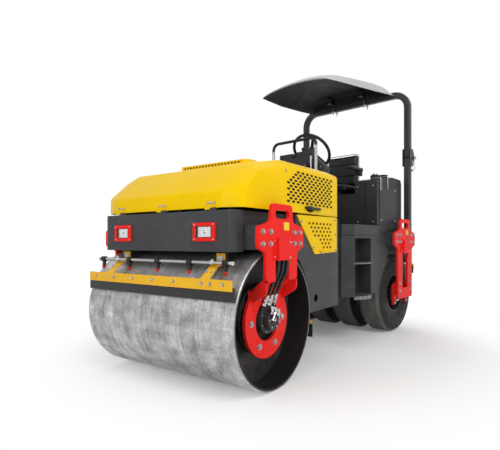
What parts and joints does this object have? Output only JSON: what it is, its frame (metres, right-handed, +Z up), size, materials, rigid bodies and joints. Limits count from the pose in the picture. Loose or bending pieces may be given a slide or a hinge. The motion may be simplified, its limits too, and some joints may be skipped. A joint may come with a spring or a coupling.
{
  "type": "road roller",
  "caption": "Ride-on road roller with a smooth front drum, rubber rear tyres, centre-pivot steering, tip-up hood and folding roll bar with sun canopy.",
  "frame": {"origin": "bottom centre of the whole machine's box, on the ground", "axes": "+X forward, +Y to the machine's left, +Z up"},
  "size_m": [3.2022, 1.549, 2.5538],
  "materials": {
    "yellow_paint": "gloss",
    "red_paint": "gloss",
    "dark_grey_paint": "satin",
    "drum_steel": "worn",
    "bare_steel": "satin",
    "black_plastic": "matte",
    "canopy_plastic": "satin",
    "tyre_rubber": "matte",
    "black_rubber": "matte",
    "seat_vinyl": "satin",
    "lamp_glass": "clear",
    "cast_housing": "satin"
  },
  "bodies": {
    "front_frame": {"front_chassis": "dark_grey_paint", "pivot_pins": "bare_steel", "nose_panel": "dark_grey_paint", "lamp_frames": "red_paint", "lamp_lenses": "lamp_glass", "front_support_plates": "red_paint", "drum_brackets": "red_paint", "rubber_buffers": "black_rubber", "drum_motors": "cast_housing", "hose_elbows": "bare_steel", "left_drum_hose_1": "black_rubber", "left_drum_hose_2": "black_rubber", "left_drum_hose_3": "black_rubber", "right_drum_hose_1": "black_rubber", "right_drum_hose_2": "black_rubber", "steering_barrel": "dark_grey_paint", "drum_scraper_bars": "yellow_paint", "drum_scraper_blades": "black_rubber", "scraper_arms": "dark_grey_paint", "spray_bar": "bare_steel", "spray_nozzles": "black_plastic", "lower_grille_panels": "yellow_paint", "engine_block": "cast_housing"},
    "steering_rod": {"steering_rod": "bare_steel"},
    "drum": {"drum_shell": "drum_steel", "drum_end_discs": "dark_grey_paint"},
    "hood": {"hood_shell": "yellow_paint", "hood_grilles": "black_plastic", "hood_hinges": "bare_steel", "hood_latches": "black_plastic"},
    "pivot_block": {"pivot_block": "dark_grey_paint"},
    "rear_frame": {"rear_chassis": "dark_grey_paint", "step_treads": "bare_steel", "platform": "dark_grey_paint", "tank": "dark_grey_paint", "tank_caps": "black_plastic", "tank_side_covers": "dark_grey_paint", "seat_base": "black_plastic", "seat_cushion": "seat_vinyl", "seat_back": "seat_vinyl", "console": "dark_grey_paint", "handrail": "dark_grey_paint", "control_lever": "black_plastic", "rear_support_plates": "red_paint", "rear_carriers": "red_paint", "rear_axle": "bare_steel", "rops_lower_posts": "dark_grey_paint", "rear_scraper_bars": "yellow_paint", "rear_scraper_blades": "black_rubber"},
    "roll_bar": {"rops_hoop": "dark_grey_paint", "canopy": "canopy_plastic", "canopy_clamps": "bare_steel"},
    "left_rear_wheels": {"left_rear_tyres": "tyre_rubber", "left_rear_rims": "dark_grey_paint"},
    "right_rear_wheels": {"right_rear_tyres": "tyre_rubber", "right_rear_rims": "dark_grey_paint"},
    "steering_wheel": {"steering_wheel": "black_plastic"}
  },
  "joints": [
    {"name": "drum_spin", "type": "hinge", "parent": "front_frame", "child": "drum", "pos_m": [1.16709, -0.05846, 0.43], "axis": [0, 1, 0], "continuous": true},
    {"name": "hood_open", "type": "hinge", "parent": "front_frame", "child": "hood", "pos_m": [1.50909, -0.05846, 1.1], "axis": [0, 1, 0], "range_deg": [0, 60]},
    {"name": "steer", "type": "hinge", "parent": "front_frame", "child": "pivot_block", "pos_m": [0.04209, -0.05846, 0.6], "axis": [0, 0, 1], "range_deg": [-22.24, 33.76]},
    {"name": "oscillate", "type": "hinge", "parent": "pivot_block", "child": "rear_frame", "pos_m": [0.04209, -0.05846, 0.6], "axis": [0.995, -0.1004, 0], "range_deg": [-5, 5]},
    {"name": "rod_slide", "type": "slide", "parent": "front_frame", "child": "steering_rod", "axis": [-1, 0, 0], "range_m": [-0.076, 0.115]},
    {"name": "left_wheels_spin", "type": "hinge", "parent": "rear_frame", "child": "left_rear_wheels", "pos_m": [-1.04712, 0.35293, 0.39], "axis": [0.1004, 0.995, 0], "continuous": true},
    {"name": "right_wheels_spin", "type": "hinge", "parent": "rear_frame", "child": "right_rear_wheels", "pos_m": [-1.10734, -0.24404, 0.39], "axis": [0.1004, 0.995, 0], "continuous": true},
    {"name": "steering_wheel_turn", "type": "hinge", "parent": "rear_frame", "child": "steering_wheel", "pos_m": [-0.42951, -0.01089, 1.81], "axis": [-0.7229, 0.0729, 0.6871], "continuous": true},
    {"name": "rops_fold", "type": "hinge", "parent": "rear_frame", "child": "roll_bar", "pos_m": [-1.32796, 0.07974, 1.79], "axis": [-0.1004, -0.995, 0], "range_deg": [0, 90]}
  ],
  "couplings": [
    {"joint": "rod_slide", "follows": "steer", "m_per_rad": 0.192}
  ]
}
